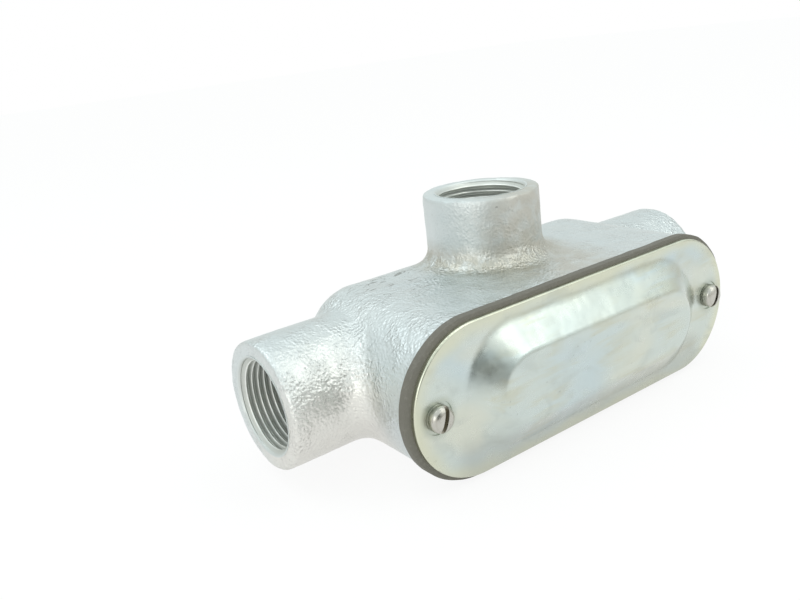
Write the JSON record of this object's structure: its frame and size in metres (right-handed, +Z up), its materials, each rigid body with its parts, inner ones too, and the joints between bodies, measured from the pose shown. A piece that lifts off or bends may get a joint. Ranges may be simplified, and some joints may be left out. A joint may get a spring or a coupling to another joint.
{
  "type": "conduit body",
  "caption": "Cast iron T conduit body with three threaded hubs, a gasket, a domed obround cover and slotted cover screws.",
  "frame": {"origin": "on the ground under the middle of the outline, with the fitting standing on its underside", "axes": "+X along the run from the left hub to the right one, -Y out through the cover, +Z up the branch hub"},
  "size_m": [0.1598, 0.0646, 0.0627],
  "materials": {
    "zinc_casting": "zinc plated, as cast",
    "gasket_rubber": "matt",
    "zinc_sheet": "yellow-tinged zinc plate",
    "screw_steel": "plain bright steel"
  },
  "bodies": {
    "casting": {"body_casting": "zinc_casting", "gasket": "gasket_rubber"},
    "cover_plate": {"cover": "zinc_sheet"},
    "left_screw": {"cover_screw_left": "screw_steel"},
    "right_screw": {"cover_screw_right": "screw_steel"}
  },
  "joints": [
    {"name": "cover_lift", "type": "slide", "parent": "casting", "child": "cover_plate", "axis": [0, -1, 0], "range_m": [0, 0.03]},
    {"name": "left_screw_turn", "type": "hinge", "parent": "cover_plate", "child": "left_screw", "pos_m": [-0.0535, -0.02631, 0.0217], "axis": [0, -1, 0], "continuous": true},
    {"name": "right_screw_turn", "type": "hinge", "parent": "cover_plate", "child": "right_screw", "pos_m": [0.0535, -0.02631, 0.0217], "axis": [0, -1, 0], "continuous": true}
  ]
}
